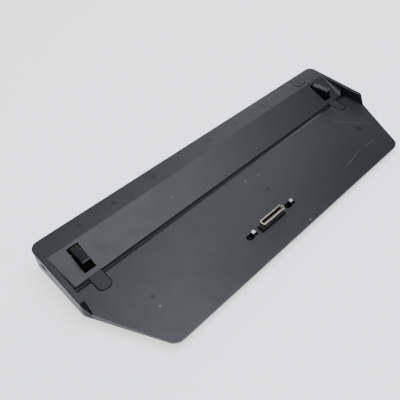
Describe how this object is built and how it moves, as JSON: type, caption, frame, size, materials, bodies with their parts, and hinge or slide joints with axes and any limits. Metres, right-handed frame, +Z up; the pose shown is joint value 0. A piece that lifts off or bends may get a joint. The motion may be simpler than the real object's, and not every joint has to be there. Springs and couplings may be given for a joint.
{
  "type": "laptop docking station",
  "caption": "Wedge-shaped charcoal docking station with side walls, folding guide hooks, latch hooks beside a docking connector, a power button and rear sockets.",
  "frame": {"origin": "on the table, under the middle of the case's outline, at the bottom of the rubber feet", "axes": "+X to the user's right, +Y to the rear where the sockets are, +Z up"},
  "size_m": [0.344, 0.127, 0.0247],
  "materials": {
    "base_plastic": "fine textured",
    "black_steel": "black oxide",
    "board_green": "solder mask",
    "button_plastic": "smooth",
    "can_aluminium": "drawn",
    "case_plastic": "fine textured",
    "contact_gold": "gold plated",
    "foot_rubber": "matt",
    "guide_plastic": "moulded, slightly worn on top",
    "insulator_beige": "moulded",
    "insulator_black": "moulded",
    "insulator_blue": "moulded",
    "label_film": "satin",
    "nickel": "nickel plated",
    "pad_rubber": "matt",
    "panel_paint": "satin",
    "ribbon_film": "polyester film",
    "spring_steel": "drawn wire",
    "zinc_steel": "zinc plated"
  },
  "bodies": {
    "case": {"analog_video_insulator": "insulator_blue", "analog_video_shell": "nickel", "board_screws": "zinc_steel", "bottom_cover": "base_plastic", "capacitors": "can_aluminium", "case_screws": "black_steel", "connector_board": "board_green", "connector_contacts": "contact_gold", "connector_insulator": "insulator_beige", "connector_shell": "nickel", "controller_chips": "insulator_black", "dc_inlet": "insulator_black", "dc_pin": "nickel", "digital_video_insulator": "insulator_black", "digital_video_shell": "nickel", "foot_front_left": "foot_rubber", "foot_front_middle": "foot_rubber", "foot_front_right": "foot_rubber", "foot_rear_left": "foot_rubber", "foot_rear_middle": "foot_rubber", "foot_rear_right": "foot_rubber", "guide_housing_left": "guide_plastic", "guide_housing_right": "guide_plastic", "guide_pin_left": "zinc_steel", "guide_pin_right": "zinc_steel", "guide_spring_left": "spring_steel", "guide_spring_right": "spring_steel", "jack_standoffs": "nickel", "latch_spring": "spring_steel", "lock_plate": "zinc_steel", "main_circuit_board": "board_green", "network_insulator": "insulator_black", "network_shell": "nickel", "power_switch": "insulator_black", "rating_label": "label_film", "rear_panel": "panel_paint", "rest_pad_left": "pad_rubber", "rest_pad_right": "pad_rubber", "ribbon_cable": "ribbon_film", "stiffener_plate": "zinc_steel", "top_cover": "case_plastic", "usb_shell_1": "nickel", "usb_shell_2": "nickel", "usb_shell_3": "nickel", "usb_shell_4": "nickel", "usb_tongue_1": "insulator_black", "usb_tongue_2": "insulator_black", "usb_tongue_3": "insulator_black", "usb_tongue_4": "insulator_black"},
    "guide_left": {"guide_hook_left": "guide_plastic"},
    "guide_right": {"guide_hook_right": "guide_plastic"},
    "latch": {"latch_slider": "black_steel", "latch_hook_left": "nickel", "latch_hook_right": "nickel", "latch_rivets": "black_steel"},
    "release": {"release_button": "button_plastic"},
    "power": {"power_button": "button_plastic"}
  },
  "joints": [
    {"name": "guide_left_fold", "type": "hinge", "parent": "case", "child": "guide_left", "pos_m": [-0.1483, 0.039, 0.0175], "axis": [1, 0, 0], "range_deg": [0, 25], "stiffness_Nm_per_rad": 0.02, "springref_deg": -8.59, "deforming": ["guide_spring_left"]},
    {"name": "guide_right_fold", "type": "hinge", "parent": "case", "child": "guide_right", "pos_m": [0.1483, 0.039, 0.0175], "axis": [1, 0, 0], "range_deg": [0, 25], "stiffness_Nm_per_rad": 0.02, "springref_deg": -8.59, "deforming": ["guide_spring_right"]},
    {"name": "latch_slide", "type": "slide", "parent": "case", "child": "latch", "axis": [1, 0, 0], "range_m": [-0.004, 0], "stiffness_N_per_m": 300, "springref_m": 0.002, "deforming": ["latch_spring"]},
    {"name": "release_push", "type": "slide", "parent": "case", "child": "release", "axis": [1, 0, 0], "range_m": [-0.004, 0]},
    {"name": "power_press", "type": "slide", "parent": "case", "child": "power", "axis": [0, 0, -1], "range_m": [0, 0.0008], "stiffness_N_per_m": 150, "springref_m": -0.001}
  ],
  "couplings": [
    {"joint": "release_push", "follows": "latch_slide", "ratio": 1}
  ]
}
